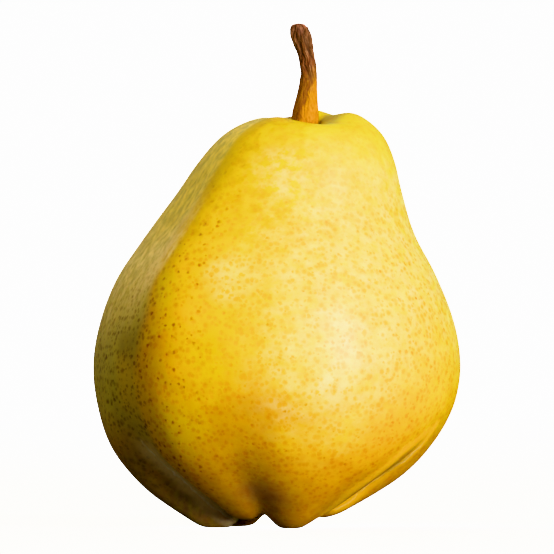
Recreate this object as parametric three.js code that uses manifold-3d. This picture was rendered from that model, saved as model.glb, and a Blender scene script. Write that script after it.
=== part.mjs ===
// A ripe yellow pear that stands on the lobes round its eye: the fruit, the woody stem that is rooted in its
// top, and the dried calyx that sits in the eye underneath.
// Millimetres, +Z up. The origin is under the middle of the pear's outline, on the surface it stands on, and
// the side with the narrow front lobe faces -Y. Azimuths are in degrees from +X, turning towards +Y.
import * as THREE from "three";
import { ParametricGeometry } from "three/addons/geometries/ParametricGeometry.js";
import { mergeVertices } from "three/addons/utils/BufferGeometryUtils.js";
import Module from "manifold-3d";

const { clamp, degToRad, euclideanModulo, lerp, smoothstep } = THREE.MathUtils;

// Driving sizes of the whole pear. The sections below are drawn for these, and follow them when they change.
const BELLY_WIDTH = 80;
const FRUIT_HEIGHT = 90;
const DEPTH_SHARE = 0.965; // front to back, as a share of the width
const ROOT_GAP = 0.3; // left all round the stem's root and the calyx's heel

const DRAWN_WIDTH = 80;
const DRAWN_HEIGHT = 90;
const wide = (size) => (size * BELLY_WIDTH) / DRAWN_WIDTH;
const tall = (size) => (size * FRUIT_HEIGHT) / DRAWN_HEIGHT;

// The stem and the calyx stand where the fruit's own centre line meets its skin.
const EYE_X = wide(-1.4);
const EYE_FLOOR = tall(5.6);
const STEM_X = wide(6.3);
const STEM_FLOOR = tall(88.0);
const STEM_ROOT_DEPTH = tall(6.0);
const STEM_ROOT_RADIUS = 2.2;
const STEM_COLLAR_RADIUS = 3.0;
const HEEL_RADIUS = 2.5;
const HEEL_DEPTH = tall(2.0);

// The fruit's centre section, from the hole for the calyx, down its basin, over the foot and up the flank to
// the hole for the stem: [radius, height, how far the centre leans along +X].
const SOCKET_RADIUS = STEM_ROOT_RADIUS + ROOT_GAP;
const SOCKET_MOUTH = 1.07 * STEM_COLLAR_RADIUS + ROOT_GAP; // clear of the stem's ribs
const EYE_HOLE = HEEL_RADIUS + ROOT_GAP;
const SECTION = [
  [0, EYE_FLOOR + HEEL_DEPTH + ROOT_GAP, EYE_X],
  [EYE_HOLE, EYE_FLOOR + HEEL_DEPTH, EYE_X],
  [EYE_HOLE + 0.25, EYE_FLOOR + 0.1, EYE_X],
  [wide(5.0), tall(4.7), EYE_X],
  [wide(7.4), tall(2.3), EYE_X],
  [wide(10.4), tall(-0.1), EYE_X],
  [wide(14.2), tall(0.3), EYE_X],
  [wide(19.3), tall(3.0), wide(-1.3)],
  [wide(26.6), tall(8.2), wide(-1.7)],
  [wide(33.8), tall(15.8), wide(-1.4)],
  [wide(38.4), tall(24.5), wide(-0.3)],
  [wide(40.2), tall(34.5), wide(0.1)],
  [wide(38.7), tall(45), wide(0.1)],
  [wide(34.8), tall(55), wide(0.1)],
  [wide(29.3), tall(64), wide(1.0)],
  [wide(24.6), tall(73), wide(3.0)],
  [wide(21.2), tall(80.2), wide(4.6)],
  [wide(16.7), tall(86.1), wide(5.8)],
  [wide(9.4), tall(89.3), STEM_X],
  [SOCKET_MOUTH + 0.5, STEM_FLOOR + tall(0.1), STEM_X],
  [SOCKET_MOUTH, STEM_FLOOR - tall(1.0), STEM_X],
  [SOCKET_RADIUS, STEM_FLOOR - STEM_ROOT_DEPTH, STEM_X],
  [0, STEM_FLOOR - STEM_ROOT_DEPTH - ROOT_GAP, STEM_X],
];
const SECTION_SPANS = SECTION.length - 1;
const FRUIT_SIDES = 80;
const RINGS_PER_SPAN = 3;

// The two holes stay round: the lobes, grooves and swellings come in and go out between these shares of the
// section.
const SHAPED_FROM = 2 / SECTION_SPANS;
const SHAPED_FULLY_FROM = 3.8 / SECTION_SPANS;
const SHAPED_FULLY_TO = (SECTION_SPANS - 3.8) / SECTION_SPANS;
const SHAPED_TO = (SECTION_SPANS - 3) / SECTION_SPANS;

// The five grooves that run up from the eye and leave five lobes between them. Each has its azimuth at the
// foot and at the belly, its depth at the foot, its half width in degrees and the height where it runs out.
const GROOVES = [
  { foot: -97, belly: -106, depth: 2.0, width: 9, top: 30 }, // front
  { foot: -139, belly: -147, depth: 4.5, width: 8, top: 35 }, // front left
  { foot: 94, belly: 106, depth: 2.2, width: 10, top: 26 }, // back left
  { foot: 30, belly: 30, depth: 2.2, width: 11, top: 26 }, // back right
  { foot: -25, belly: -16, depth: 2.7, width: 8, top: 28 }, // front right
];
const GROOVE_TURN = tall(30); // height by which a groove has turned to its azimuth at the belly
const GROOVE_WIDENING = 0.6; // and how much wider it is there, as a share of its width

// How far the foot stays above the surface, by azimuth. The left, back and front right lobes carry the pear.
const LOBE_FEET = [
  { azimuth: -92, lift: 1.7 },
  { azimuth: -64, lift: -0.35 }, // the front right lobe
  { azimuth: -43, lift: 2.8 },
  { azimuth: 2, lift: 2.7 }, // the right lobe
  { azimuth: 38, lift: 2.6 },
  { azimuth: 64, lift: -0.3 }, // the back lobe
  { azimuth: 92, lift: 1.2 },
  { azimuth: 118, lift: 0.7 },
  { azimuth: 143, lift: -0.1 }, // the left lobe
  { azimuth: 172, lift: 0.1 },
  { azimuth: -121, lift: 2.6 }, // the front left lobe
];
const LOBE_SPREAD = 16; // degrees over which one lobe's lift gives way to the next
const LIFT_FADE = tall(16); // height over which the lifts fade out
const FOOT_SINK = 0.45; // the depth that the weight flattens from each carrying lobe

// Swellings and hollows of the flanks: azimuth and height of the middle, half width in degrees, half height,
// and how far the skin moves out there.
const SWELLINGS = [
  { azimuth: -131, height: 40, width: 13, reach: 30, rise: 1.3 }, // the shoulder of the front left lobe
  { azimuth: -126, height: 66, width: 13, reach: 16, rise: 0.6 }, // its ridge up to the neck
  { azimuth: -60, height: 38, width: 34, reach: 24, rise: 0.9 }, // the full front right cheek
  { azimuth: -104, height: 46, width: 15, reach: 20, rise: -0.6 }, // the valley between them
  { azimuth: -160, height: 52, width: 20, reach: 16, rise: -0.7 }, // the flat left flank
  { azimuth: -153, height: 66, width: 14, reach: 16, rise: -0.7 }, // the hollow beside the ridge
  { azimuth: -157, height: 14, width: 8, reach: 16, rise: 1.1 }, // the edge of the left lobe
  { azimuth: 100, height: 40, width: 30, reach: 22, rise: 0.8 }, // the full back
  { azimuth: 20, height: 68, width: 22, reach: 12, rise: -0.5 }, // the nape
];

// Swellings and hollows of the crown, by their place in plan.
const CROWN = [
  { x: 8.0, y: 5.8, reach: 3.8, rise: 2.1 }, // the fleshy lip behind the stem
  { x: 8.6, y: -6.8, reach: 4.8, rise: -2.2 }, // the dip in front of the stem
  { x: 17.0, y: -1.5, reach: 4.8, rise: 1.3 }, // the right shoulder
  { x: 12.2, y: 1.5, reach: 2.6, rise: 0.5 }, // the saddle between the lip and the shoulder
];
const CROWN_FROM = tall(78);
const CROWN_TO = tall(87);

// The stem: a point on its centre line and its radius there, from the root to the scar of the twig.
const STEM = [
  { at: [STEM_X, 0, STEM_FLOOR - STEM_ROOT_DEPTH + ROOT_GAP], radius: 0 },
  { at: [STEM_X, 0, STEM_FLOOR - STEM_ROOT_DEPTH + 2 * ROOT_GAP], radius: STEM_ROOT_RADIUS - 0.1 },
  { at: [STEM_X, 0, STEM_FLOOR - 2.0], radius: 0.5 * (STEM_ROOT_RADIUS + STEM_COLLAR_RADIUS) },
  { at: [STEM_X, 0, STEM_FLOOR + 0.6], radius: STEM_COLLAR_RADIUS },
  { at: [6.4, 0.2, 90.8], radius: 2.8 },
  { at: [6.7, 0.6, 93.6], radius: 2.3 },
  { at: [7.0, 0.7, 97.0], radius: 2.0 },
  { at: [6.95, 0.9, 100.4], radius: 1.85 },
  { at: [6.35, 1.1, 103.4], radius: 2.0 },
  { at: [5.65, 1.3, 106.0], radius: 2.25 },
  { at: [5.1, 1.5, 107.6], radius: 2.3 },
  { at: [4.85, 1.6, 108.7], radius: 2.0 },
  { at: [4.85, 1.6, 109.4], radius: 1.3 },
  { at: [4.85, 1.6, 109.65], radius: 0 },
];
const STEM_SIDES = 24;
const STEM_RINGS_PER_SPAN = 3;
const STEM_RIBS = 7;
const STEM_TWIST = degToRad(55); // how far the ribs turn from root to tip
const RIB_SHARE_ROOT = 0.02; // rib height as a share of the radius
const RIB_SHARE_TIP = 0.11;
const STEM_FLUTES = 3; // the broad flats of the drying wood, which fade out towards the root
const FLUTE_SHARE_TIP = 0.055;
const FLUTE_START = 1.1; // radians round the stem

// The dried calyx: a heel in the hole of the eye, a low rim, five sepals and the withered stamens.
const RIM_RADIUS = 3.1;
const RIM_HEIGHT = 0.9;
const RIM_DROP = 1.4 * ROOT_GAP; // from the floor of the eye down to the top of the rim
const RIM_SIDES = 24;
const SEPALS = 5;
const SEPAL_TURN = 18; // azimuth of the first sepal
const SEPAL_WIDTH = 3.4;
const SEPAL_THICKNESS = 0.75;
const SEPAL_BEND = new THREE.QuadraticBezierCurve( // out from the eye's middle, and up
  new THREE.Vector2(2.0, -0.7),
  new THREE.Vector2(4.6, -1.15),
  new THREE.Vector2(5.6, -4.0),
);
const SEPAL_BROAD_ROOT = 0.18; // where on its leaf shape the sepal starts, so that its root is broad
const SEPAL_FULLNESS = 0.8; // below 1 for a fuller leaf
const SEPAL_CLOSING = 0.05; // share of the length in which either end closes
const SEPAL_CUP = 0.35; // how far its edges curl towards the fruit
const SEPAL_SIDES = 8;
const SEPAL_RINGS = 8;
const STAMENS = 9;
const STAMEN_LENGTH = 2.1;
const STAMEN_RADIUS = 0.32;
const STAMEN_TIP_SHARE = 0.6;
const STAMEN_RING = 1.1; // radius of the ring that they stand on
const STAMEN_ROOT = 0.5; // how deep they are rooted in the heel
const STAMEN_LEAN = degToRad(-16);

const SKIN = new THREE.MeshStandardMaterial({
  name: "skin",
  color: 0xe6c23a,
  roughness: 0.42,
  metalness: 0,
});
const WOOD = new THREE.MeshStandardMaterial({
  name: "stem_wood",
  color: 0x8a5a22,
  roughness: 0.75,
  metalness: 0,
});
const HUSK = new THREE.MeshStandardMaterial({
  name: "calyx_husk",
  color: 0x4a3320,
  roughness: 0.9,
  metalness: 0,
});

// A rise of 1 in the middle that falls off evenly on both sides.
const bell = (distance, reach) => Math.exp(-((distance / reach) ** 2));

// The shorter way round from one azimuth to another, in degrees.
function turnBetween(from, to) {
  return euclideanModulo(to - from + 180, 360) - 180;
}

// How far the grooves take the skin in, at an azimuth and a height.
function grooveDepth(azimuth, height) {
  const turned = clamp(height / GROOVE_TURN, 0, 1);
  const depths = GROOVES.map((groove) => {
    const line = groove.foot + turnBetween(groove.foot, groove.belly) * turned;
    const width = groove.width * (1 + GROOVE_WIDENING * turned);
    const fade = 1 - smoothstep(height, 0, tall(groove.top));
    return groove.depth * fade * bell(turnBetween(line, azimuth), width);
  });
  return depths.reduce((sum, depth) => sum + depth, 0);
}

// How far the swellings bring the skin out, at an azimuth and a height.
function swellingRise(azimuth, height) {
  const rises = SWELLINGS.map((swelling) => {
    const across = bell(turnBetween(swelling.azimuth, azimuth), swelling.width);
    const along = bell(height - tall(swelling.height), tall(swelling.reach));
    return swelling.rise * across * along;
  });
  return rises.reduce((sum, rise) => sum + rise, 0);
}

// How far the foot stays above the surface, at an azimuth.
function footLift(azimuth) {
  const shares = LOBE_FEET.map((lobe) => bell(turnBetween(lobe.azimuth, azimuth), LOBE_SPREAD));
  const lift = LOBE_FEET.reduce((sum, lobe, i) => sum + lobe.lift * shares[i], 0);
  return lift / shares.reduce((sum, share) => sum + share, 0);
}

// How far the crown rises at a place in plan.
function crownRise(x, y) {
  const rises = CROWN.map((bump) => {
    const distance = Math.hypot(x - wide(bump.x), y - wide(bump.y));
    return bump.rise * bell(distance, bump.reach);
  });
  return rises.reduce((sum, rise) => sum + rise, 0);
}

// How much of the lobes, grooves and swellings there is, at a share of the section.
function shapedShare(along) {
  const comesIn = smoothstep(along, SHAPED_FROM, SHAPED_FULLY_FROM);
  const goesOut = smoothstep(along, SHAPED_FULLY_TO, SHAPED_TO);
  return comesIn * (1 - goesOut);
}

// The fruit's skin as a surface of two shares: one round the pear, and one along its section.
const section = new THREE.CatmullRomCurve3(SECTION.map((station) => new THREE.Vector3(...station)));

function skinPoint(round, along, target) {
  const azimuth = 360 * (round % 1);
  const { x: sectionRadius, y: sectionHeight, z: lean } = section.getPoint(along);
  const heading = section.getTangent(along);
  const steepness = Math.hypot(heading.x, heading.y);
  const shaped = shapedShare(along);
  const low = 1 - smoothstep(sectionHeight, 0, LIFT_FADE);

  const out = shaped * (swellingRise(azimuth, sectionHeight) - grooveDepth(azimuth, sectionHeight));
  const radius = sectionRadius + (out * heading.y) / steepness;
  const height = sectionHeight - (out * heading.x) / steepness;
  const lift = shaped * low * (footLift(azimuth) - FOOT_SINK);

  const x = lean + radius * Math.cos(degToRad(azimuth));
  const y = radius * lerp(1, DEPTH_SHARE, shaped) * Math.sin(degToRad(azimuth));
  const crown = crownRise(x, y) * smoothstep(sectionHeight, CROWN_FROM, CROWN_TO);
  target.set(x, y, Math.max(height + lift + crown, 0));
}

function makeFruit() {
  const skin = new ParametricGeometry(skinPoint, FRUIT_SIDES, SECTION_SPANS * RINGS_PER_SPAN);
  const fruit = new THREE.Mesh(skin, SKIN);
  fruit.name = "fruit";
  return fruit;
}

// The stem as a surface of two shares: one round it, and one from its root to its tip.
const stemLine = new THREE.CatmullRomCurve3(STEM.map((station) => new THREE.Vector3(...station.at)));
const stemRadii = new THREE.SplineCurve(STEM.map((station, i) => new THREE.Vector2(i, station.radius)));

function stemPoint(round, along, target) {
  const angle = 2 * Math.PI * (round % 1);
  const heading = stemLine.getTangent(along);
  const side = new THREE.Vector3(0, 1, 0).cross(heading).normalize();
  const front = heading.clone().cross(side);
  const ribHeight = lerp(RIB_SHARE_ROOT, RIB_SHARE_TIP, along);
  const rib = ribHeight * Math.cos(STEM_RIBS * (angle + STEM_TWIST * along));
  const flute = FLUTE_SHARE_TIP * along * Math.cos(STEM_FLUTES * angle + FLUTE_START);
  const radius = Math.max(stemRadii.getPoint(along).y, 0) * (1 + rib + flute);
  target.copy(stemLine.getPoint(along));
  target.addScaledVector(side, radius * Math.cos(angle));
  target.addScaledVector(front, radius * Math.sin(angle));
}

function makeStem() {
  const rings = (STEM.length - 1) * STEM_RINGS_PER_SPAN;
  const stem = new THREE.Mesh(new ParametricGeometry(stemPoint, STEM_SIDES, rings), WOOD);
  stem.name = "stem";
  return stem;
}

const wasm = await Module();
wasm.setup();
const SAME_POINT = 1e-4; // corners closer than this are one corner

// A closed geometry as a solid that can be joined to others.
function solidOf(geometry) {
  const bare = geometry.clone();
  bare.deleteAttribute("normal");
  bare.deleteAttribute("uv");
  const merged = mergeVertices(bare, SAME_POINT);
  const mesh = new wasm.Mesh({
    numProp: 3,
    vertProperties: merged.attributes.position.array,
    triVerts: new Uint32Array(merged.index.array),
  });
  return new wasm.Manifold(mesh);
}

// A solid's surface as a geometry.
function geometryOf(solid) {
  const mesh = solid.getMesh();
  return new THREE.BufferGeometry()
    .setAttribute("position", new THREE.BufferAttribute(mesh.vertProperties, 3))
    .setIndex(new THREE.BufferAttribute(mesh.triVerts, 1));
}

// One sepal that grows out along +X from the rim and bends down: a pointed leaf, thickest along its middle.
function sepalPoint(round, along, target) {
  const angle = 2 * Math.PI * (round % 1);
  const leaf = Math.sin(Math.PI * lerp(SEPAL_BROAD_ROOT, 1, along)) ** SEPAL_FULLNESS;
  const closed = Math.min(along / SEPAL_CLOSING, (1 - along) / SEPAL_CLOSING, 1);
  const sideways = leaf * closed * Math.cos(angle);
  const thickness = SEPAL_THICKNESS * lerp(0.8, 1, leaf) * closed;
  const off = SEPAL_CUP * sideways ** 2 + 0.5 * thickness * Math.sin(angle);
  const middle = SEPAL_BEND.getPoint(along);
  const heading = SEPAL_BEND.getTangent(along);
  target.set(middle.x - heading.y * off, 0.5 * SEPAL_WIDTH * sideways, middle.y + heading.x * off);
}

// The heel and the rim under it, turned about the eye's centre line.
function makeHeel() {
  const profile = [
    [0, 0.2],
    [1.5, 0],
    [RIM_RADIUS - 0.7, -RIM_HEIGHT],
    [RIM_RADIUS, -RIM_HEIGHT],
    [RIM_RADIUS, -RIM_DROP],
    [HEEL_RADIUS, -RIM_DROP],
    [HEEL_RADIUS, HEEL_DEPTH - ROOT_GAP],
    [0, HEEL_DEPTH - ROOT_GAP],
  ];
  const points = profile.map(([radius, height]) => new THREE.Vector2(radius, height));
  return new THREE.LatheGeometry(points, RIM_SIDES).rotateX(Math.PI / 2);
}

// One stamen that hangs from the heel and leans out along +X.
function makeStamen() {
  const tip = STAMEN_TIP_SHARE * STAMEN_RADIUS;
  return new THREE.CylinderGeometry(STAMEN_RADIUS, tip, STAMEN_LENGTH, 5)
    .rotateX(Math.PI / 2)
    .translate(0, 0, STAMEN_ROOT - 0.5 * STAMEN_LENGTH)
    .rotateY(STAMEN_LEAN)
    .translate(STAMEN_RING, 0, 0);
}

function makeCalyx() {
  let husk = solidOf(makeHeel());
  const sepal = new ParametricGeometry(sepalPoint, SEPAL_SIDES, SEPAL_RINGS);
  for (let i = 0; i < SEPALS; i += 1) {
    const turn = degToRad(SEPAL_TURN + (360 / SEPALS) * i);
    husk = husk.add(solidOf(sepal.clone().rotateZ(turn)));
  }
  for (let i = 0; i < STAMENS; i += 1) {
    const turn = degToRad((360 / STAMENS) * i);
    husk = husk.add(solidOf(makeStamen().rotateZ(turn)));
  }
  const calyx = new THREE.Mesh(geometryOf(husk), HUSK);
  calyx.name = "calyx";
  calyx.position.set(EYE_X, 0, EYE_FLOOR);
  return calyx;
}

// The three pieces, moved together so that the origin is under the middle of their outline.
const pear = new THREE.Group();
pear.add(makeFruit(), makeStem(), makeCalyx());
pear.updateMatrixWorld(true);
const outline = new THREE.Box3().setFromObject(pear);
const middle = outline.getCenter(new THREE.Vector3());
pear.position.set(-middle.x, -middle.y, 0);

export default pear;
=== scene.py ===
# %% [markdown]
# # A ripe pear
# This lesson dresses a plain solid model of a pear until it looks like the fruit in a studio picture. The
# solid model is the frame: it is never moved, and every finer piece made here starts from one of its
# solids and stays where that solid is. The pear has three pieces: the fruit with its waxy, speckled skin,
# the woody stem rooted in its top, and the dried calyx hidden in the eye underneath.

import math

import bmesh
import bpy
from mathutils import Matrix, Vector, noise


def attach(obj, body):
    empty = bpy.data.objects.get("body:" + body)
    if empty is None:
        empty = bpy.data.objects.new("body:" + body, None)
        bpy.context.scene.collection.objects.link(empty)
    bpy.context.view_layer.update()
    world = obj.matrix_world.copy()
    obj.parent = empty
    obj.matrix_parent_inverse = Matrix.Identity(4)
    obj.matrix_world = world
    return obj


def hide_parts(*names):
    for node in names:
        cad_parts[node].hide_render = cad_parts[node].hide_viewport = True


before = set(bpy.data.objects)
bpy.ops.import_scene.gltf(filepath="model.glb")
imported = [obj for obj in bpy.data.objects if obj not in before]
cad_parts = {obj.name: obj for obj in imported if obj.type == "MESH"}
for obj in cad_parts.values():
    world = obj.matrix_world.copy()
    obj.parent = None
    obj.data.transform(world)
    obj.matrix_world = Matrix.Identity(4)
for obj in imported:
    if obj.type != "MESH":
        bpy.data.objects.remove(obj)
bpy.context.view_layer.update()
MM = 0.001


# %% [markdown]
# ## The camera
# The pear was photographed from straight ahead with a long lens, so neither its top nor its underside
# shows and near and far lobes have the same scale. A short lens close by would make the front lobe hang
# lower than it does, so the camera stands well back with a lens that frames 120 mm of height.

# %% Camera
FRAME_HEIGHT = 120.4 * MM
FRAME_MIDDLE = 54.4 * MM
STAND_BACK = 2.4
SENSOR = 36.0
NEAREST, FURTHEST = 0.1, 20.0
LEVEL = math.radians(90)

camera = bpy.data.objects.new("camera", bpy.data.cameras.new("camera"))
bpy.context.scene.collection.objects.link(camera)
camera.data.sensor_width = SENSOR
camera.data.lens = SENSOR * STAND_BACK / FRAME_HEIGHT
camera.data.clip_start = NEAREST
camera.data.clip_end = FURTHEST
camera.data.dof.use_dof = False
camera.location = (0, -STAND_BACK, FRAME_MIDDLE)
camera.rotation_euler = (LEVEL, 0, 0)
bpy.context.scene.camera = camera
print("lens, mm:", round(camera.data.lens))

# %% [markdown]
# ## Building materials in code
# A node material is a list of nodes and links. A few small helpers keep that list readable: `put` adds a
# node and fills its inputs, `calc` adds one step of arithmetic, `times` multiplies masks, `ease` and
# `spread` turn a value into a mask, and `tint` lays one colour over another. Everything below is built
# from noise and distances in the piece's own coordinates, so no picture is wrapped round the fruit and it
# looks right from every side.

# %% Node helpers
def fill(tree, node, inputs):
    """Links the inputs that are given a socket, and sets those that are given a value."""
    for name, value in inputs.items():
        if isinstance(value, bpy.types.NodeSocket):
            tree.links.new(value, node.inputs[name])
        else:
            node.inputs[name].default_value = value


def put(tree, kind, inputs=None, **settings):
    """Adds a node with its settings and inputs."""
    node = tree.nodes.new(kind)
    for name, value in settings.items():
        setattr(node, name, value)
    fill(tree, node, inputs or {})
    return node


def calc(tree, operation, *values, clamp=False):
    """One step of arithmetic, as the socket with its result."""
    inputs = dict(enumerate(values))
    return put(tree, "ShaderNodeMath", inputs, operation=operation, use_clamp=clamp).outputs[0]


def times(tree, first, *others):
    """The product of masks and numbers."""
    for other in others:
        first = calc(tree, "MULTIPLY", first, other)
    return first


def ease(tree, value, start, end, low=0.0, high=1.0):
    """A soft step: low before start, high after end."""
    inputs = {"Value": value, "From Min": start, "From Max": end, "To Min": low, "To Max": high}
    return put(tree, "ShaderNodeMapRange", inputs, interpolation_type="SMOOTHSTEP").outputs["Result"]


def spread(tree, mask, low, high):
    """A mask from 0 to 1, stretched in a straight line from low to high."""
    return calc(tree, "MULTIPLY_ADD", mask, high - low, low)


def vector_calc(tree, operation, *values, result=0):
    """One step of arithmetic on vectors, as the socket with its result."""
    return put(tree, "ShaderNodeVectorMath", dict(enumerate(values)), operation=operation).outputs[result]


def attribute(tree, name, kind="Fac"):
    """A value that the mesh carries at each of its points."""
    return put(tree, "ShaderNodeAttribute", attribute_name=name).outputs[kind]


print("helpers: fill, put, calc, times, ease, spread, vector_calc, attribute")

# %% [markdown]
# ## Colours in layers
# A painter starts with a ground colour and glazes others over it, each only where it belongs. `Paint`
# does the same: it keeps the colour so far, and `lay` puts the next one over it by the product of some
# masks. A layer that multiplies darkens or stains what is under it, and a plain one covers it.

# %% Layers
MIX_SHARE, MIX_UNDER, MIX_OVER, MIX_RESULT = 0, 6, 7, 2


def grey(value):
    """A colour without a hue."""
    return (value, value, value)


def with_alpha(colour):
    """A colour that is written out gets its fourth value. A socket stays as it is."""
    return (*colour, 1) if isinstance(colour, tuple) else colour


def tint(tree, share, under, over, blend="MIX"):
    """One colour laid over another by a share from 0 to 1."""
    inputs = {MIX_SHARE: share, MIX_UNDER: with_alpha(under), MIX_OVER: with_alpha(over)}
    mix = put(tree, "ShaderNodeMix", inputs, data_type="RGBA", blend_type=blend, clamp_factor=True)
    return mix.outputs[MIX_RESULT]


class Paint:
    """A colour that is built up in layers."""

    def __init__(self, tree, ground):
        self.tree, self.colour = tree, ground

    def lay(self, colour, *masks, share=1.0, blend="MIX"):
        """Lays a colour over the ones before it where all the masks are up, and at most by its share."""
        mask = times(self.tree, *masks)
        if share < 1.0:
            mask = times(self.tree, mask, share)
        self.colour = tint(self.tree, mask, self.colour, colour, blend)


def new_material(name):
    """An empty material with its Principled shader already on the output."""
    material = bpy.data.materials.new(name)
    material.use_nodes = True
    tree = material.node_tree
    tree.nodes.clear()
    shader = put(tree, "ShaderNodeBsdfPrincipled")
    put(tree, "ShaderNodeOutputMaterial", {"Surface": shader.outputs[0]})
    return material, tree, shader


print("a grey as a full colour:", with_alpha(grey(0.5)))

# %% [markdown]
# ## Groups of nodes
# What more than one finish uses is a group: a small tree of its own with named inputs and outputs, made
# once and placed wherever it is needed.

# %% Making and placing groups
VECTOR, FLOAT = "NodeSocketVector", "NodeSocketFloat"


def new_group(name, inputs, outputs):
    """A shader group with named inputs and outputs, and its two end nodes."""
    group = bpy.data.node_groups.new(name, "ShaderNodeTree")
    for label, kind, start in inputs:
        socket = group.interface.new_socket(label, in_out="INPUT", socket_type=kind)
        if start is not None:
            socket.default_value = start
    for label, kind in outputs:
        group.interface.new_socket(label, in_out="OUTPUT", socket_type=kind)
    return group, put(group, "NodeGroupInput").outputs, put(group, "NodeGroupOutput")


def use(tree, group, **inputs):
    """Places a group in a material. Underscores in the names stand for spaces."""
    named = {name.replace("_", " "): value for name, value in inputs.items()}
    return put(tree, "ShaderNodeGroup", named, node_tree=group).outputs


print("groups so far:", len(bpy.data.node_groups))

# %% [markdown]
# ## Dots
# A pear's dots are lenticels, pores corked over as the fruit grows. They lie about as evenly as raindrops
# and vary in size. Cutting a pattern of cells in space with the curved skin gives just that: cell centres
# near the skin make large dots, those further away make small ones. Fine noise nudges the place first, so
# that no dot is a perfect circle, and each cell's own random colour says how large it is and whether it
# is kept.

# %% Dots
NUDGE = 0.5 * MM
NUDGES_PER_METRE = 1800.0
SMALLEST, LARGEST = 0.55, 1.45

dots, dots_in, dots_end = new_group(
    "dots",
    [
        ("Place", VECTOR, None),
        ("Per Metre", FLOAT, 600.0),
        ("Radius", FLOAT, 0.3),
        ("Softness", FLOAT, 0.4),
        ("Kept", FLOAT, 1.0),
    ],
    [("Mask", FLOAT), ("Chance", FLOAT)],
)
rough_edge = put(
    dots, "ShaderNodeTexNoise", {"Vector": dots_in["Place"], "Scale": NUDGES_PER_METRE, "Detail": 1.0}
).outputs["Color"]
nudge = vector_calc(dots, "SUBTRACT", rough_edge, grey(0.5))
nudged = vector_calc(dots, "MULTIPLY_ADD", nudge, grey(NUDGE), dots_in["Place"])
cells = put(
    dots,
    "ShaderNodeTexVoronoi",
    {"Vector": nudged, "Scale": dots_in["Per Metre"], "Randomness": 1.0},
    voronoi_dimensions="3D",
    feature="F1",
).outputs
draws = put(dots, "ShaderNodeSeparateColor", {"Color": cells["Color"]}).outputs
reach = times(dots, dots_in["Radius"], spread(dots, draws["Green"], SMALLEST, LARGEST))
inner = times(dots, reach, calc(dots, "SUBTRACT", 1.0, dots_in["Softness"]))
inside = ease(dots, cells["Distance"], inner, reach, 1.0, 0.0)
kept = calc(dots, "LESS_THAN", draws["Red"], dots_in["Kept"])
fill(dots, dots_end, {"Mask": times(dots, inside, kept), "Chance": draws["Blue"]})
print("group:", dots.name, len(dots.nodes), "nodes")

# %% [markdown]
# ## Mottling
# Mottling is plain layered noise. Its contrast is raised round the middle value, so a high contrast gives
# patches with clear edges and a low one gives a gentle drift.

# %% Mottle
GRAININESS = 0.55

mottle, mottle_in, mottle_end = new_group(
    "mottle",
    [
        ("Place", VECTOR, None),
        ("Per Metre", FLOAT, 100.0),
        ("Detail", FLOAT, 3.0),
        ("Contrast", FLOAT, 1.0),
    ],
    [("Amount", FLOAT)],
)
cloud = put(
    mottle,
    "ShaderNodeTexNoise",
    {
        "Vector": mottle_in["Place"],
        "Scale": mottle_in["Per Metre"],
        "Detail": mottle_in["Detail"],
        "Roughness": GRAININESS,
    },
).outputs["Fac"]
centred = calc(mottle, "SUBTRACT", cloud, 0.5)
amount = calc(mottle, "ADD", times(mottle, centred, mottle_in["Contrast"]), 0.5, clamp=True)
fill(mottle, mottle_end, {"Amount": amount})


def mottled(tree, place, per_metre, detail, contrast):
    """The mottle group's amount at a place."""
    return use(tree, mottle, Place=place, Per_Metre=per_metre, Detail=detail, Contrast=contrast)["Amount"]


print("group:", mottle.name, len(mottle.nodes), "nodes")

# %% [markdown]
# ## Copying a solid as a fine surface
# The solid model is made of loose flat triangles. A copy has its doubled corners merged and its triangles
# paired into quads, and a Subdivision Surface then rounds it. The result is fixed as a mesh so that the
# next step can press relief into its fine points. Relief goes inwards only, because the dressed pear may
# not be larger than the solid one.

# %% Fine copies
MERGE = 0.002 * MM
FLAT_ENOUGH = math.radians(60)
SQUARE_ENOUGH = math.radians(70)


def fine_copy(node_name, levels):
    """The solid's surface, merged, paired into quads and rounded, as a new bmesh."""
    rough = bmesh.new()
    rough.from_mesh(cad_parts[node_name].data)
    bmesh.ops.remove_doubles(rough, verts=rough.verts, dist=MERGE)
    bmesh.ops.join_triangles(
        rough, faces=rough.faces, angle_face_threshold=FLAT_ENOUGH, angle_shape_threshold=SQUARE_ENOUGH
    )
    mesh = bpy.data.meshes.new(node_name + "_rough")
    rough.to_mesh(mesh)
    rough.free()
    holder = bpy.data.objects.new(node_name + "_rough", mesh)
    bpy.context.scene.collection.objects.link(holder)
    rounding = holder.modifiers.new("rounding", "SUBSURF")
    rounding.levels = rounding.render_levels = levels
    rounded = holder.evaluated_get(bpy.context.evaluated_depsgraph_get())
    fine = bmesh.new()
    fine.from_mesh(rounded.to_mesh())
    bpy.data.objects.remove(holder)
    bpy.data.meshes.remove(mesh)
    fine.normal_update()
    return fine


print("solids to copy:", sorted(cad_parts))

# %% [markdown]
# ## From a fine copy to a piece
# A fine copy with its relief becomes an object of its own. It gets its finish, stands for the solid that
# it came from, and rides on the body that the solid belongs to. `step` is the twin of `ease` for points
# of a mesh.

# %% Finished pieces
def finish_piece(fine, name, material, node_name):
    """Turns the bmesh into a smooth piece that stands for a solid."""
    fine.normal_update()
    mesh = bpy.data.meshes.new(name)
    fine.to_mesh(mesh)
    fine.free()
    mesh.shade_smooth()
    mesh.materials.append(material)
    piece = bpy.data.objects.new(name, mesh)
    bpy.context.scene.collection.objects.link(piece)
    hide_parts(node_name)
    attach(piece, "root")
    print(name, "faces:", len(mesh.polygons))


def step(value, start, end):
    """0 before start, 1 after end, and a smooth rise between them."""
    t = min(max((value - start) / (end - start), 0.0), 1.0)
    return t * t * (3 - 2 * t)


print("step halfway:", step(0.5, 0, 1))

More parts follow.
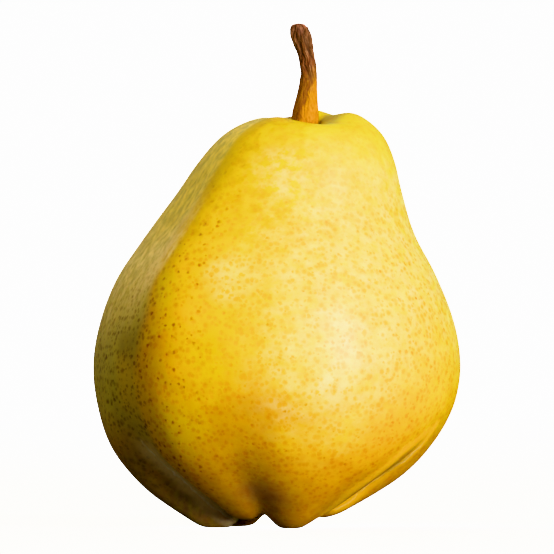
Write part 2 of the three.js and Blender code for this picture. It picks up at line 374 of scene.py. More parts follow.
# %% [markdown]
# ## Finding a place on the skin
# Nearly every mark on the skin depends on two things: how high it is, and how far round. `side` runs from
# -1 at the far left to 1 at the far right as seen from the front, and its middle leans with the neck.
# Slow noise shifts both a little, so that no border is a straight line. The marks of the left side fade
# out on the back.

# %% Skin places
HEIGHT_DRIFT = 26 * MM
SIDE_DRIFT = 0.3
NECK_LEAN = 6 * MM
LEAN_FROM, LEAN_TO = 55 * MM, 88 * MM
BACK_FROM, BACK_TO = 0.72, 0.14

skin_finish, skin_tree, skin_shader = new_material("skin")
skin_place = put(skin_tree, "ShaderNodeTexCoord").outputs["Object"]
skin_spot = put(skin_tree, "ShaderNodeSeparateXYZ", {"Vector": skin_place}).outputs
slow_noise = mottled(skin_tree, skin_place, per_metre=28.0, detail=2.0, contrast=1.0)
drift = calc(skin_tree, "SUBTRACT", slow_noise, 0.5)
height = calc(skin_tree, "MULTIPLY_ADD", drift, HEIGHT_DRIFT, skin_spot["Z"])
lean = ease(skin_tree, skin_spot["Z"], LEAN_FROM, LEAN_TO, 0.0, NECK_LEAN)
upright = calc(skin_tree, "SUBTRACT", skin_spot["X"], lean)
outward = put(skin_tree, "ShaderNodeCombineXYZ", {"X": upright, "Y": skin_spot["Y"]}).outputs[0]
facing = put(
    skin_tree, "ShaderNodeSeparateXYZ", {"Vector": vector_calc(skin_tree, "NORMALIZE", outward)}
).outputs
side = calc(skin_tree, "MULTIPLY_ADD", drift, SIDE_DRIFT, facing["X"])
behind = calc(skin_tree, "MULTIPLY_ADD", drift, SIDE_DRIFT, facing["Y"])
not_behind = ease(skin_tree, behind, BACK_FROM, BACK_TO)


def rise(start, end, low=0.0, high=1.0):
    """A soft step with height, in mm. A start above the end makes it fall."""
    return ease(skin_tree, height, start * MM, end * MM, low, high)


def turn(start, end, low=0.0, high=1.0):
    """A soft step round the fruit, with side."""
    return ease(skin_tree, side, start, end, low, high)


def near(middle, full, none):
    """1 within a distance of a point and 0 beyond another distance, all in mm."""
    away = vector_calc(skin_tree, "DISTANCE", skin_place, tuple(c * MM for c in middle), result="Value")
    return ease(skin_tree, away, none * MM, full * MM)


print("skin places:", len(skin_tree.nodes), "nodes")

# %% [markdown]
# ## The skin's patterns
# All the noise that colours the skin is listed here once. A stretch below 1 upwards draws a pattern out
# into strings along the fruit, and one above 1 flattens it into layers round it.

# %% Skin patterns
EVEN, STRINGY, LAYERED = (1.0, 1.0, 1.0), (1.0, 1.0, 0.16), (1.0, 1.0, 1.3)
# Each pattern has its stretch, its patches per metre, its detail and its contrast.
PATTERNS = {
    "strings": (STRINGY, 760.0, 4.0, 3.6),
    "brown": (EVEN, 62.0, 3.0, 4.5),
    "blotch": (LAYERED, 170.0, 4.0, 3.4),
    "patches": (LAYERED, 105.0, 5.0, 3.6),
    "bloom_and_sheen": (LAYERED, 300.0, 5.0, 3.0),
    "flecks": (EVEN, 500.0, 3.0, 4.5),
    "smears": (LAYERED, 330.0, 4.0, 4.5),
    "specks": (EVEN, 520.0, 4.0, 4.0),
    "sheen": (EVEN, 420.0, 3.0, 1.0),
    "waves": (EVEN, 330.0, 2.0, 1.0),
}

pattern = {}
for name, (stretch, per_metre, detail, contrast) in PATTERNS.items():
    stretched = vector_calc(skin_tree, "MULTIPLY", skin_place, stretch)
    pattern[name] = mottled(skin_tree, stretched, per_metre, detail, contrast)
half_patched = spread(skin_tree, pattern["patches"], 0.4, 1.0)
print("patterns:", ", ".join(pattern))

# %% [markdown]
# ## The skin's ground
# A ripe pear's skin is amber and russet round the eye, golden on the belly and greener at the neck. The
# side that faced the sun is a pale lemon, and the foot of the lemon climbs towards the right. Left of the
# middle, where the skin turns away from the light, painted shade deepens the gold to amber and then
# dims it.

# %% Skin ground
GOLD = (0.78, 0.515, 0.003)
AMBER = (0.76, 0.375, 0.001)
RUSSET = (0.44, 0.17, 0.002)
LEMON = (0.79, 0.635, 0.085)
GREEN = (0.66, 0.54, 0.018)
TURNING_SHADE_BELLY = (0.64, 0.53, 0.2)
TURNING_SHADE_NECK = (0.88, 0.76, 0.3)
LEMON_CLIMB = 17 * MM

skin_paint = Paint(skin_tree, AMBER)
skin_paint.lay(GOLD, rise(8, 32))
skin_paint.lay(RUSSET, rise(9, 1))
skin_paint.lay(GREEN, rise(60, 88))
lemon_height = calc(skin_tree, "MULTIPLY_ADD", turn(0.4, 0.9), -LEMON_CLIMB, height)
lemon_foot = ease(skin_tree, lemon_height, 10 * MM, 38 * MM)
warm_side = times(skin_tree, turn(-0.4, 0.2), lemon_foot, rise(90, 72))
skin_paint.lay(LEMON, warm_side, share=0.9)
skin_paint.lay(GREEN, turn(0.72, 0.98), rise(26, 50), share=0.7)
# Painted shade: amber, then a darker glaze, where the skin turns away from the light.
skin_paint.lay(AMBER, turn(-0.4, -0.62), rise(70, 42), not_behind, share=0.8)
turning_shade = tint(skin_tree, rise(38, 56), TURNING_SHADE_BELLY, TURNING_SHADE_NECK)
skin_paint.lay(turning_shade, turn(-0.46, -0.70), rise(26, 38), not_behind, blend="MULTIPLY")
print("skin ground:", len(skin_tree.nodes), "nodes")

# %% [markdown]
# ## The shaded side
# The left side is the skin's duller colour, darkened as painted shade where the light falls off: leaf
# green on the belly and corky at the foot, with olive strings running along it, and beige and straw
# towards the neck, which are a painted sheen. It is mixed apart as a paint of its own and laid over the
# ground in one go, with a clear border. Painted shade darkens its lowest rim and a valley on the belly,
# and between them runs a tan fold.

# %% Shaded side
LEAF_IN_SHADE = (0.35, 0.31, 0.095)
CORK_IN_SHADE = (0.34, 0.245, 0.160)
BEIGE_SHEEN = (0.92, 0.74, 0.29)
STRAW_SHEEN = (0.88, 0.69, 0.14)
OLIVE = (0.42, 0.37, 0.085)
RIM_SHADE = (0.50, 0.46, 0.50)
FOLD_TAN = (0.58, 0.36, 0.04)
VALLEY_SHADE = (0.74, 0.68, 0.6)

# Painted shade and sheen: the shaded side's colours stand in for the key light falling off.
painted_shade_side = times(skin_tree, turn(-0.71, -0.78), not_behind)
painted_shade_and_sheen = Paint(skin_tree, LEAF_IN_SHADE)
painted_shade_and_sheen.lay(CORK_IN_SHADE, rise(26, 10))
# Beige and straw towards the neck are a painted sheen of the bright surroundings.
painted_shade_and_sheen.lay(BEIGE_SHEEN, rise(38, 62))
painted_shade_and_sheen.lay(STRAW_SHEEN, rise(62, 72))
painted_shade_and_sheen.lay(OLIVE, pattern["strings"], share=0.75)
# Painted shade on the lowest rim and on the foot.
outer_rim_shade = times(skin_tree, turn(-0.80, -0.94), rise(26, 14))
rim_shade = calc(skin_tree, "MAXIMUM", outer_rim_shade, ease(skin_tree, skin_spot["Z"], 4 * MM, 1 * MM))
painted_shade_and_sheen.lay(RIM_SHADE, rim_shade, blend="MULTIPLY")
painted_shade_and_sheen.lay(FOLD_TAN, turn(-0.90, -0.84), rise(40, 34), rise(20, 28), share=0.6)
# Painted shade in a valley on the belly.
valley_shade = times(skin_tree, turn(-0.89, -0.84), turn(-0.70, -0.75), rise(47, 41), rise(32, 39))
painted_shade_and_sheen.lay(VALLEY_SHADE, valley_shade, blend="MULTIPLY")
skin_paint.lay(painted_shade_and_sheen.colour, painted_shade_side, share=0.9)
print("with the shaded side:", len(skin_tree.nodes), "nodes")

# %% [markdown]
# ## Blotches, painted shade and sheen
# Ripe skin is never even. Toasted clouds gather at the foot and old gold ones on the belly. The left
# front is a darker old gold nearly all over, partly painted shade where the light falls off. A pale line
# of painted sheen follows the border of the shaded side above the belly, and low down on the front a
# rusty patch of painted shade lies in the valley between the two front lobes.

# %% Blotches, painted shade and sheen
OLD_GOLD = (0.60, 0.405, 0.002)
TOAST = (0.60, 0.25, 0.001)
EDGE_SHEEN = (0.83, 0.63, 0.25)
LOW_FRONT_SHADE = (0.56, 0.25, 0.001)
LOW_FRONT_SHADE_AT = (-4, -36, 23)
EDGE_SHEEN_SHIFT = 0.10

foot = ease(skin_tree, skin_spot["Z"], 34 * MM, 12 * MM)
skin_paint.lay(TOAST, pattern["brown"], foot, share=0.4)
deeper = tint(skin_tree, rise(40, 16), OLD_GOLD, TOAST)
skin_paint.lay(deeper, pattern["blotch"], spread(skin_tree, painted_shade_side, 0.5, 0.1))
# Partly painted shade: darker old gold over the left front, where the key light falls off.
left_front = times(skin_tree, turn(0.1, -0.3), turn(-0.76, -0.68), rise(34, 54))
skin_paint.lay(OLD_GOLD, left_front, half_patched)
# Painted sheen: a pale line along the border of the shaded side above the belly.
edge_sheen_side = calc(skin_tree, "ADD", side, rise(66, 46, high=EDGE_SHEEN_SHIFT))
edge_sheen = times(skin_tree, ease(skin_tree, edge_sheen_side, -0.65, -0.69), ease(skin_tree, edge_sheen_side, -0.82, -0.74))
edge_sheen_breaks = spread(skin_tree, pattern["strings"], 1.0, 0.5)
skin_paint.lay(EDGE_SHEEN, edge_sheen, rise(47, 57), rise(78, 62), edge_sheen_breaks, not_behind)
# Painted shade: a rusty patch in the valley between the two front lobes.
low_front_shade_breaks = spread(skin_tree, pattern["patches"], 0.3, 0.7)
skin_paint.lay(LOW_FRONT_SHADE, near(LOW_FRONT_SHADE_AT, full=3, none=17), low_front_shade_breaks)
print("with blotches:", len(skin_tree.nodes), "nodes")

# %% [markdown]
# ## Stains and painted shade
# A few single marks are placed one by one. Patches break up their edges. The last one is a dark patch
# of painted shade in the notch between the two front lobes. Over them all lies a pale bloom, lemon on
# the left front, and cream on the warm side, where it is a painted sheen.

# %% Stains and painted shade
CREAM = (0.84, 0.73, 0.36)
NOTCH_SHADE = (0.50, 0.23, 0.12)
# Each stain or patch of painted shade has its middle and its reach in mm, its strength and its colour.
STAINS_AND_SHADE = (
    ((0.1, -21.9, 76.9), 6.0, 0.85, CREAM),
    ((-10.0, -32.3, 54.3), 5.5, 0.9, CREAM),
    ((12.5, -37.5, 31.2), 5.0, 0.6, CREAM),
    ((-10.7, -23.6, 68.7), 6.0, 0.8, OLD_GOLD),
    ((3.5, -29.1, 62.9), 3.5, 0.7, GOLD),
    ((-13.6, -36.2, 38.7), 8.0, 0.8, OLD_GOLD),
    ((12.1, -33.5, 20.0), 6.5, 0.7, GOLD),
    ((-20.7, -31.0, 21.5), 7.0, 0.8, GOLD),
    ((2.9, -35.0, 19.4), 4.5, 0.7, GOLD),
    # painted shade in the notch between the two front lobes
    ((-3.4, -22.0, 6.8), 5.5, 1.0, NOTCH_SHADE),
)
CORE, FRINGE = 0.2, 1.5

for middle, reach, strength, colour in STAINS_AND_SHADE:
    around_middle = near(middle, full=CORE * reach, none=FRINGE * reach)
    skin_paint.lay(colour, around_middle, half_patched, share=strength)
gold_bloom = times(skin_tree, pattern["bloom_and_sheen"], left_front, turn(-0.52, -0.15), rise(78, 60))
skin_paint.lay(LEMON, gold_bloom, share=0.8)
# Painted sheen: cream patches on the lit side stand in for a blotchy highlight.
skin_paint.lay(CREAM, pattern["bloom_and_sheen"], warm_side, share=0.55)
print("stains:", len(STAINS_AND_SHADE))

# %% [markdown]
# ## Lenticels
# Two sets of dots lie over each other: many fine ones, and fewer bold ones that grow larger and redder
# towards the shaded side. They multiply the skin under them, as a stain does. They are golden on the pale
# side, rusty at the foot and the far right, brown in the shade, and sparse at the neck and on the upper
# left. Small golden flecks fill the space between them.

# %% Lenticels
DOT_GOLD = (0.98, 0.80, 0.0)
DOT_RUST = (0.87, 0.65, 0.02)
DOT_RED = (0.50, 0.22, 0.03)
DOT_BROWN = (0.50, 0.40, 0.24)
RARE, RARE_REDNESS = 9.0, 0.5

near_edge = times(skin_tree, turn(-0.36, -0.6), not_behind)
bold_radius = spread(skin_tree, near_edge, 0.29, 0.38)
fine_dots = use(skin_tree, dots, Place=skin_place, Per_Metre=820.0, Radius=0.56, Softness=0.76, Kept=0.96)
bold_dots = use(
    skin_tree, dots, Place=skin_place, Per_Metre=700.0, Radius=bold_radius, Softness=0.78, Kept=0.55
)

fine_paint = Paint(skin_tree, DOT_GOLD)
fine_paint.lay(DOT_RUST, rise(34, 12))
fine_paint.lay(DOT_RUST, calc(skin_tree, "MAXIMUM", near_edge, turn(0.45, 0.8)))
fine_paint.lay(DOT_BROWN, turn(-0.64, -0.76), not_behind)
bold_paint = Paint(skin_tree, fine_paint.colour)
now_and_then = times(skin_tree, calc(skin_tree, "POWER", bold_dots["Chance"], RARE), RARE_REDNESS)
bold_paint.lay(DOT_RED, calc(skin_tree, "MAXIMUM", near_edge, now_and_then))
bold_paint.lay(DOT_BROWN, turn(-0.7, -0.8), not_behind)

lit = spread(skin_tree, times(skin_tree, turn(-0.6, -0.74), not_behind), 1.0, 0.0)
veiled = times(skin_tree, turn(-0.6, -0.76), rise(42, 60), not_behind)
unveiled = spread(skin_tree, veiled, 1.0, 0.25)
dotted = times(skin_tree, rise(84, 54, low=0.35), unveiled, rise(2, 16, low=0.5))
crowded = times(skin_tree, dotted, spread(skin_tree, pattern["blotch"], 0.7, 1.05))
flecks = calc(skin_tree, "POWER", pattern["flecks"], 2.0)
skin_paint.lay(DOT_GOLD, flecks, lit, share=0.35, blend="MULTIPLY")
skin_paint.lay(fine_paint.colour, fine_dots["Mask"], crowded, blend="MULTIPLY")
skin_paint.lay(bold_paint.colour, bold_dots["Mask"], dotted, blend="MULTIPLY")
print("with lenticels:", len(skin_tree.nodes), "nodes")

# %% [markdown]
# ## Smears, creases and painted highlight lines
# Yellow smears cross the lit neck, and brown specks dull the foot. Then come the grooves between the
# lobes. The mesh of the skin will carry three values for them: how far a point is from the right groove,
# how far it is to the left or right of a highlight line, and whether such a line runs there. The right
# groove is lifted to a smooth warm gold, a painted light against its shade. A highlight line is a thin
# pale painted highlight along a lobe's edge, with a little wobble, and in the shade a broad band of
# painted light goes with it.

# %% Smears and painted highlights
SMEAR = (0.88, 0.82, 0.10)
SPECK = (0.80, 0.55, 0.1)
CREASE_LIGHT = (0.95, 0.50, 0.006)
PAINTED_LIGHT_BAND = (0.90, 0.68, 0.38)
HIGHLIGHT_ON_LIT = (0.98, 0.62, 0.16)
HIGHLIGHT_ON_SHADE = (1.0, 0.84, 0.60)
WOBBLE = 0.8 * MM

smears = calc(skin_tree, "POWER", pattern["smears"], 2.0)
skin_paint.lay(SMEAR, smears, rise(54, 66), turn(0.5, -0.1, low=0.25), lit, blend="MULTIPLY")
skin_paint.lay(SPECK, pattern["specks"], rise(22, 6), share=0.4, blend="MULTIPLY")
crease = ease(skin_tree, attribute(skin_tree, "crease"), 3.2 * MM, 0.6 * MM)
# Painted light: the right groove is lifted to a warm gold against its shade.
skin_paint.lay(CREASE_LIGHT, crease, share=0.8)
wobble = spread(skin_tree, pattern["sheen"], -WOBBLE, WOBBLE)
highlight_off = calc(skin_tree, "ABSOLUTE", calc(skin_tree, "ADD", attribute(skin_tree, "highlight_side"), wobble))
highlight_run = attribute(skin_tree, "highlight_run")
# Painted light: a broad pale band lifts the shade along the lobe edge on the shaded side.
painted_light_band = ease(skin_tree, highlight_off, 2.8 * MM, 0.4 * MM)
skin_paint.lay(PAINTED_LIGHT_BAND, painted_light_band, highlight_run, painted_shade_side, share=0.8)
# Painted highlight: a thin pale line along each lobe edge.
highlight_line = ease(skin_tree, highlight_off, 0.36 * MM, 0.10 * MM)
highlight_breaks = spread(skin_tree, pattern["strings"], 0.95, 0.25)
highlight_colour = tint(skin_tree, painted_shade_side, HIGHLIGHT_ON_LIT, HIGHLIGHT_ON_SHADE)
skin_paint.lay(highlight_colour, highlight_line, highlight_run, highlight_breaks)
print("with seams:", len(skin_tree.nodes), "nodes")

# %% [markdown]
# ## Wax
# Natural wax gives the skin a soft sheen, so its roughness is middling and varies a little, and a thin
# coat lies over it except in the creases. A little light sinks into the flesh and comes out warmer. The
# bump is slight: the dots lie a trifle low, and the rest is a fine waver.

# %% Skin shine
COAT = 0.22
ROUGHNESS, ROUGHER_CREASE, ROUGHER_SHEEN = 0.32, 0.35, 0.25
DOT_DEPTH = 0.25

dull = calc(skin_tree, "MULTIPLY_ADD", crease, ROUGHER_CREASE, ROUGHNESS)
relief = calc(skin_tree, "SUBTRACT", pattern["waves"], times(skin_tree, fine_dots["Mask"], DOT_DEPTH))
bump = put(skin_tree, "ShaderNodeBump", {"Height": relief, "Strength": 0.5, "Distance": 0.12 * MM})
fill(
    skin_tree,
    skin_shader,
    {
        "Base Color": skin_paint.colour,
        "Roughness": calc(skin_tree, "MULTIPLY_ADD", pattern["sheen"], ROUGHER_SHEEN, dull),
        "Normal": bump.outputs["Normal"],
        "Subsurface Weight": 0.12,
        "Subsurface Radius": (1.0, 0.55, 0.15),
        "Subsurface Scale": 2.0 * MM,
        "IOR": 1.5,
        "Specular IOR Level": 0.32,
        "Coat Weight": spread(skin_tree, crease, COAT, 0.0),
        "Coat Roughness": 0.26,
    },
)
print("skin finish:", len(skin_tree.nodes), "nodes")

# %% [markdown]
# ## Lines along the grooves
# The lines of painted highlight along the lobe edges, and the shoulder over the right one, are drawn as
# lines through a few corners in space, because they lie deep in the grooves at some places and near the
# surface at others. For each point of the skin the nearest stretch of a line is found. Its distance
# says whether the point belongs to the groove at all, and its offset as seen from the front says on
# which side of the line it lies.

# %% Groove lines
LEFT_HIGHLIGHT_LINE = (
    (-30.1, -18.6, 19.8),
    (-27.3, -17.7, 16.5),
    (-24.1, -15.9, 13.7),
    (-20.9, -13.2, 10.8),
    (-18.7, -11.5, 8.9),
    (-16.6, -9.9, 6.9),
    (-14.4, -8.3, 4.9),
    (-12.2, -6.8, 3.4),
    (-10.1, -4.6, 2.0),
)
RIGHT_HIGHLIGHT_LINE = (
    (12.7, -4.5, 4.2),
    (14.9, -4.6, 4.8),
    (16.4, -5.4, 6.2),
    (19.2, -7.4, 8.8),
    (22.4, -8.8, 11.0),
    (25.6, -10.0, 13.2),
    (28.9, -10.0, 15.6),
    (31.5, -10.5, 18.2),
    (34.1, -12.1, 21.6),
)
RIGHT_SHOULDER = (
    (10.5, -12.4, 3.3),
    (15.9, -17.5, 7.9),
    (21.9, -18.3, 12.0),
    (27.7, -18.0, 17.0),
    (32.1, -14.6, 20.4),
)
FAR_OFF = 20 * MM


def off_line(point, line):
    """How far a point is from a line with corners in mm: sideways as seen from the front, and in all."""
    sideways = nearest = FAR_OFF
    for start, end in zip(line, line[1:]):
        start, end = Vector(start) * MM, Vector(end) * MM
        along = (point - start).dot(end - start) / (end - start).length_squared
        away = point - start.lerp(end, min(max(along, 0.0), 1.0))
        if away.length < nearest:
            nearest = away.length
            sideways = math.copysign(math.hypot(away.x, away.z), (end - start).cross(away).y)
    return sideways, nearest


print("corners of the lines:", len(LEFT_HIGHLIGHT_LINE), len(RIGHT_HIGHLIGHT_LINE), len(RIGHT_SHOULDER))

# %% [markdown]
# ## The skin
# From a step away a pear looks smooth, but its highlights waver, because the flesh swells unevenly. Broad
# low waves are pressed into the fine surface, except at the foot, which stays flat on the table. Round
# the stem the flesh also closes up against the wood, where the solid model leaves a narrow gap.

# %% Skin
# Each set of waves has its length, its depth and a seed that sets it apart.
WAVES = ((11 * MM, 0.26 * MM, 3.0), (4.5 * MM, 0.05 * MM, 17.0))
STILL_TO, WAVY_FROM = 0.3 * MM, 5 * MM
HIGHLIGHT_TOP = 30 * MM
HIGHLIGHT_REACH = (6 * MM, 3.5 * MM)
HIGHLIGHT_END = (21 * MM, 16 * MM)
NECK_FROM = 80 * MM
ROOT_TOP = 86 * MM
CLOSE_FROM, CLOSE_TO = 6.5 * MM, 3.2 * MM
STEM_GAP = 0.42 * MM


def mark_grooves(point):
    """Stores how a point of the skin lies to the painted highlight lines and to the right groove."""
    point[highlight_side_layer] = point[crease_layer] = FAR_OFF
    if point.co.z > HIGHLIGHT_TOP or point.co.y > 0:
        return
    on_right = point.co.x > 0
    sideways, nearest = off_line(point.co, RIGHT_HIGHLIGHT_LINE if on_right else LEFT_HIGHLIGHT_LINE)
    point[highlight_side_layer] = sideways
    point[highlight_run_layer] = step(nearest, *HIGHLIGHT_REACH) * step(point.co.z, *HIGHLIGHT_END)
    if on_right:
        point[crease_layer] = min(nearest, off_line(point.co, RIGHT_SHOULDER)[1])


def wave_depth(place):
    """How deep the low waves are pressed in at a place."""
    depth = 0.0
    for length, amount, seed in WAVES:
        depth += amount * (0.5 - 0.5 * noise.noise(place / length + Vector((seed, seed, seed))))
    return depth * step(place.z, STILL_TO, WAVY_FROM)


def close_on_stem(place):
    """Draws a place at the neck in towards the stem."""
    away = place.xy - root_axis
    closing = STEM_GAP * (1 - step(away.length, CLOSE_TO, CLOSE_FROM))
    place.xy = root_axis + away * max(1 - closing / max(away.length, MM), 0)


root = [v.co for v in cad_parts["stem"].data.vertices if v.co.z < ROOT_TOP]
root_axis = sum((c.xy for c in root), Vector((0, 0))) / len(root)
skin = fine_copy("fruit", levels=2)
highlight_side_layer = skin.verts.layers.float.new("highlight_side")
highlight_run_layer = skin.verts.layers.float.new("highlight_run")
crease_layer = skin.verts.layers.float.new("crease")
for point in skin.verts:
    mark_grooves(point)
    moved = point.co - point.normal * wave_depth(point.co)
    if point.co.z > NECK_FROM:
        close_on_stem(moved)
    point.co = moved
finish_piece(skin, "skin", skin_finish, "fruit")

# %% [markdown]
# ## The stem's finish
# The stem is last year's wood: a weathered brown towards the top, with a paler and redder knob at the
# tip, and a fresh ochre where it leaves the flesh. A red-brown border of painted shade runs up its left
# side, away from the light, and bends with it. The mesh will carry two values for it: a place in the
# grain, which draws the streaks out along the wood, and how dark a crack is.

# %% Stem finish
OCHRE = (0.50, 0.205, 0.0004)
RED_BROWN_FIBRE_AND_SHADE = (0.15, 0.038, 0.009)
BARK = (0.18, 0.078, 0.030)
KNOB = (0.42, 0.165, 0.10)
CRACK = (0.022, 0.010, 0.005)
PALE_OCHRE = (0.50, 0.23, 0.010)
PALE_BARK = (0.55, 0.28, 0.14)
PATCH_DRIFT = 4.5 * MM
LEFT_SHADE_FOOT, LEFT_SHADE_CLIMB, LEFT_SHADE_LEAN = 89.6 * MM, 8.5 * MM, -0.42
LEFT_SHADE_FRAY = 0.8 * MM

wood_finish, wood_tree, wood_shader = new_material("stem_wood")
grain = attribute(wood_tree, "grain_place", "Vector")
wood_place = put(wood_tree, "ShaderNodeTexCoord").outputs["Object"]
wood_spot = put(wood_tree, "ShaderNodeSeparateXYZ", {"Vector": wood_place}).outputs
streak = mottled(wood_tree, grain, per_metre=2200.0, detail=4.0, contrast=2.6)
fibre = mottled(wood_tree, grain, per_metre=3600.0, detail=3.0, contrast=3.0)
patch = mottled(wood_tree, wood_place, per_metre=260.0, detail=2.0, contrast=1.6)
level = calc(wood_tree, "ADD", wood_spot["Z"], spread(wood_tree, patch, -PATCH_DRIFT, PATCH_DRIFT))

climb = calc(wood_tree, "MINIMUM", calc(wood_tree, "SUBTRACT", wood_spot["Z"], LEFT_SHADE_FOOT), LEFT_SHADE_CLIMB)
across = calc(wood_tree, "MULTIPLY_ADD", climb, LEFT_SHADE_LEAN, wood_spot["X"])
across = calc(wood_tree, "ADD", across, spread(wood_tree, streak, -LEFT_SHADE_FRAY, LEFT_SHADE_FRAY))
left_shade = ease(wood_tree, across, 5.6 * MM, 4.4 * MM)
left_shade_end = ease(wood_tree, level, 104 * MM, 101 * MM, 0.15, 0.85)

wood_paint = Paint(wood_tree, OCHRE)
wood_paint.lay(BARK, ease(wood_tree, level, 95 * MM, 102 * MM))
wood_paint.lay(KNOB, ease(wood_tree, level, 106.5 * MM, 109 * MM))
# Painted shade: a red-brown border up the left side, away from the key light.
wood_paint.lay(RED_BROWN_FIBRE_AND_SHADE, left_shade, left_shade_end)
wood_paint.lay(RED_BROWN_FIBRE_AND_SHADE, fibre, share=0.55)
pale = tint(wood_tree, ease(wood_tree, level, 95 * MM, 101 * MM), PALE_OCHRE, PALE_BARK)
wood_paint.lay(pale, calc(wood_tree, "POWER", streak, 3.0), share=0.65)
wood_paint.lay(CRACK, attribute(wood_tree, "crack"), share=0.9)
ridges = calc(wood_tree, "ADD", streak, fibre)
bump = put(wood_tree, "ShaderNodeBump", {"Height": ridges, "Strength": 0.6, "Distance": 0.12 * MM})
fill(
    wood_tree,
    wood_shader,
    {
        "Base Color": wood_paint.colour,
        "Roughness": spread(wood_tree, streak, 0.55, 0.80),
        "Specular IOR Level": 0.12,
        "Normal": bump.outputs["Normal"],
    },
)
print("stem finish:", len(wood_tree.nodes), "nodes")

# %% [markdown]
# ## The stem
# The cracks run along the wood, so they are drawn in a space that is straightened and squeezed along the
# stem: how far round the point is, and only a quarter of how far up. Ridged noise in that space makes
# long narrow furrows, deeper towards the dry top. The stem bends, so its middle is worked out slice by
# slice.

# %% Stem
# Each set of cracks has its spacing, its depth and its darkness.
CRACKS = ((1.25 * MM, 0.36 * MM, 0.95), (0.55 * MM, 0.15 * MM, 0.9))
RIDGE_WIDTH = 2.6
AROUND = 2.2 * MM
SQUEEZE = 0.26
SLICE = 1.5 * MM
FRESH, DRY = 0.18, 1.0
DRY_FROM, DRY_TO = 94 * MM, 101 * MM

slices = {}
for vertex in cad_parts["stem"].data.vertices:
    slices.setdefault(round(vertex.co.z / SLICE), []).append(vertex.co)
middles = {index: sum(points, Vector()) / len(points) for index, points in slices.items()}


def stem_middle(z):
    """The middle of the stem at a height."""
    index = z / SLICE
    low, high = middles.get(math.floor(index)), middles.get(math.floor(index) + 1)
    if low is None or high is None:
        return low or high or middles[max(middles)]
    return low.lerp(high, index - math.floor(index))


wood = fine_copy("stem", levels=2)
grain_layer = wood.verts.layers.float_vector.new("grain_place")
crack_layer = wood.verts.layers.float.new("crack")
for point in wood.verts:
    out = point.co - stem_middle(point.co.z)
    angle = math.atan2(out.y, out.x)
    straight = Vector((AROUND * math.cos(angle), AROUND * math.sin(angle), SQUEEZE * point.co.z))
    dryness = FRESH + (DRY - FRESH) * step(point.co.z, DRY_FROM, DRY_TO)
    depth = darkness = 0.0
    for spacing, amount, dark_share in CRACKS:
        ridge = (1 - min(abs(noise.noise(straight / spacing)) * RIDGE_WIDTH, 1.0)) ** 2 * dryness
        depth += amount * ridge
        darkness = max(darkness, dark_share * ridge)
    point[grain_layer] = straight
    point[crack_layer] = darkness
    point.co = point.co - point.normal * depth
finish_piece(wood, "stem_bark", wood_finish, "stem")

# %% [markdown]
# ## The calyx
# The sepals and stamens of last spring's flower dry to a brown husk in the eye. It is paper thin on a
# real pear, brittle and dull, so it gets crinkles in its surface and a rough brown finish mottled with
# paler patches.

# %% Calyx finish and piece
HUSK_DARK = (0.035, 0.018, 0.009)
HUSK_PALE = (0.21, 0.12, 0.055)
CRINKLE = 0.12 * MM
CRINKLE_LENGTH = 0.9 * MM

husk_finish, husk_tree, husk_shader = new_material("calyx_husk")
husk_place = put(husk_tree, "ShaderNodeTexCoord").outputs["Object"]
dry = mottled(husk_tree, husk_place, per_metre=900.0, detail=4.0, contrast=2.0)
bump = put(husk_tree, "ShaderNodeBump", {"Height": dry, "Strength": 0.8, "Distance": 0.2 * MM})
fill(
    husk_tree,
    husk_shader,
    {
        "Base Color": tint(husk_tree, dry, HUSK_DARK, HUSK_PALE),
        "Roughness": spread(husk_tree, dry, 0.7, 0.9),
        "Normal": bump.outputs["Normal"],
    },
)

husk = fine_copy("calyx", levels=1)
for point in husk.verts:
    crinkled = 0.5 + 0.5 * noise.noise(point.co / CRINKLE_LENGTH)
    point.co = point.co - point.normal * CRINKLE * crinkled
finish_piece(husk, "calyx_husk", husk_finish, "calyx")

# %% [markdown]
# ## The table
# The pear stands on a round sheet of pale paper. The picture has no horizon and no shadow, so the paper
# glows white for the camera alone. To the pear it is dark, because a pale sheet would light the lobes
# from below and show in the wax.

# %% Floor
FLOOR_RADIUS = 1.8
FLOOR_EDGES = 96
PAPER_WORN, PAPER_CLEAN = (0.78, 0.78, 0.77), (0.82, 0.82, 0.81)
PAPER_TO_LIGHT, PAPER_TO_WAX = grey(0.10), grey(0.02)
PAPER_GLOW = grey(4.0)

paper = bmesh.new()
bmesh.ops.create_circle(paper, cap_ends=True, segments=FLOOR_EDGES, radius=FLOOR_RADIUS)
bmesh.ops.recalc_face_normals(paper, faces=paper.faces)
paper_mesh = bpy.data.meshes.new("paper")
paper.to_mesh(paper_mesh)
paper.free()
paper_mesh.shade_smooth()
floor = bpy.data.objects.new("paper", paper_mesh)
bpy.context.scene.collection.objects.link(floor)

paper_finish, paper_tree, paper_shader = new_material("paper")
paper_place = put(paper_tree, "ShaderNodeTexCoord").outputs["Object"]
tooth = mottled(paper_tree, paper_place, per_metre=40.0, detail=3.0, contrast=1.0)
ray = put(paper_tree, "ShaderNodeLightPath").outputs
unseen = tint(paper_tree, ray["Is Glossy Ray"], PAPER_TO_LIGHT, PAPER_TO_WAX)
pale = tint(paper_tree, tooth, PAPER_WORN, PAPER_CLEAN)
fill(
    paper_tree,
    paper_shader,
    {
        "Base Color": tint(paper_tree, ray["Is Camera Ray"], unseen, pale),
        "Emission Color": tint(paper_tree, ray["Is Camera Ray"], grey(0.0), PAPER_GLOW),
        "Emission Strength": 1.0,
        "Roughness": 0.9,
    },
)
paper_mesh.materials.append(paper_finish)
print("floor, m across:", 2 * FLOOR_RADIUS)

# %% [markdown]
# ## Studio light
# A tall soft box to the right of the camera does nearly all the work. It models the full right cheek and
# leaves the left flank in shade. A large warm card high on the left lifts that shade a little, and it is
# hidden from the wax, which would mirror it.

# %% Lights
TARGET = Vector((0, 0, 50 * MM))
WARM = (1, 0.88, 0.50)


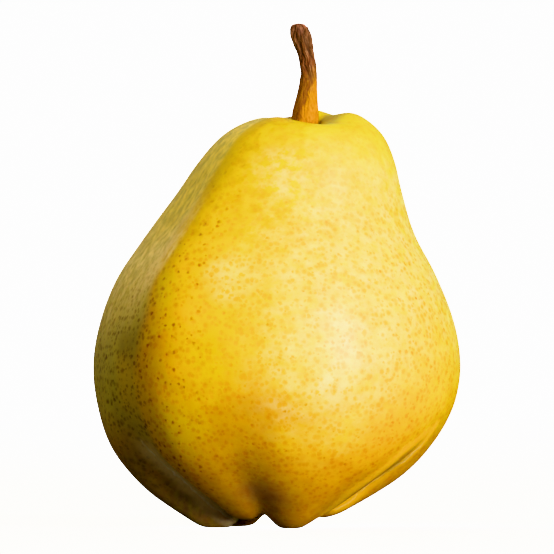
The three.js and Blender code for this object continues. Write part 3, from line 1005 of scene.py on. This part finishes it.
def soft_box(name, azimuth, elevation, distance, width, height, power):
    """A light that faces the pear. Azimuth 0 is at the camera, and positive is to its right."""
    a, e = math.radians(azimuth - 90), math.radians(elevation)
    away = Vector((math.cos(a) * math.cos(e), math.sin(a) * math.cos(e), math.sin(e)))
    light = bpy.data.lights.new(name, "AREA")
    light.shape = "RECTANGLE"
    light.size = width
    light.size_y = height
    light.energy = power
    lamp = bpy.data.objects.new(name, light)
    lamp.location = TARGET + away * distance
    lamp.rotation_euler = (-away).to_track_quat("-Z", "Y").to_euler()
    bpy.context.scene.collection.objects.link(lamp)
    return lamp


key = soft_box("key", azimuth=38, elevation=13, distance=0.9, width=0.3, height=0.7, power=21.0)
card = soft_box("card", azimuth=-94, elevation=52, distance=0.8, width=0.9, height=0.9, power=6.2)
card.data.color = WARM
card.visible_glossy = False
print("lights:", key.name, card.name)

# %% [markdown]
# ## The air round the pear
# What the skin mirrors at its edges comes from the world. It is dim towards the camera, brighter towards
# the back, and has one brighter patch there, like a wall behind the pear. The camera itself sees plain
# white air.

# %% World
AIR_FRONT, AIR_BACK = grey(0.03), (0.16, 0.15, 0.13)
WALL = grey(0.36)
AIR_GLOW = grey(4.6)

world = bpy.data.worlds.new("studio")
bpy.context.scene.world = world
world.use_nodes = True
air_tree = world.node_tree
air_tree.nodes.clear()
around = put(air_tree, "ShaderNodeTexCoord").outputs["Generated"]
ahead = put(air_tree, "ShaderNodeSeparateXYZ", {"Vector": around}).outputs
wall_foot = ease(air_tree, ahead["Z"], 0.07, 0.34)
wall_top = ease(air_tree, ahead["Z"], 0.76, 0.70)
air = Paint(air_tree, AIR_FRONT)
air.lay(AIR_BACK, ease(air_tree, ahead["Y"], 0.0, 0.4))
air.lay(WALL, ease(air_tree, ahead["Y"], 0.60, 0.72), wall_foot, wall_top)
air.lay(AIR_GLOW, put(air_tree, "ShaderNodeLightPath").outputs["Is Camera Ray"])
background = put(air_tree, "ShaderNodeBackground", {"Color": air.colour, "Strength": 1.0})
put(air_tree, "ShaderNodeOutputWorld", {"Surface": background.outputs[0]})
print("world:", len(air_tree.nodes), "nodes")

# %% [markdown]
# ## Developing the picture
# The view transform is the last step from light to picture. This one keeps a saturated yellow nearly as
# it is and only rolls off the brightest lights.

# %% View
view = bpy.context.scene.view_settings
view.view_transform = "Khronos PBR Neutral"
view.look = "None"
print("view transform:", view.view_transform)
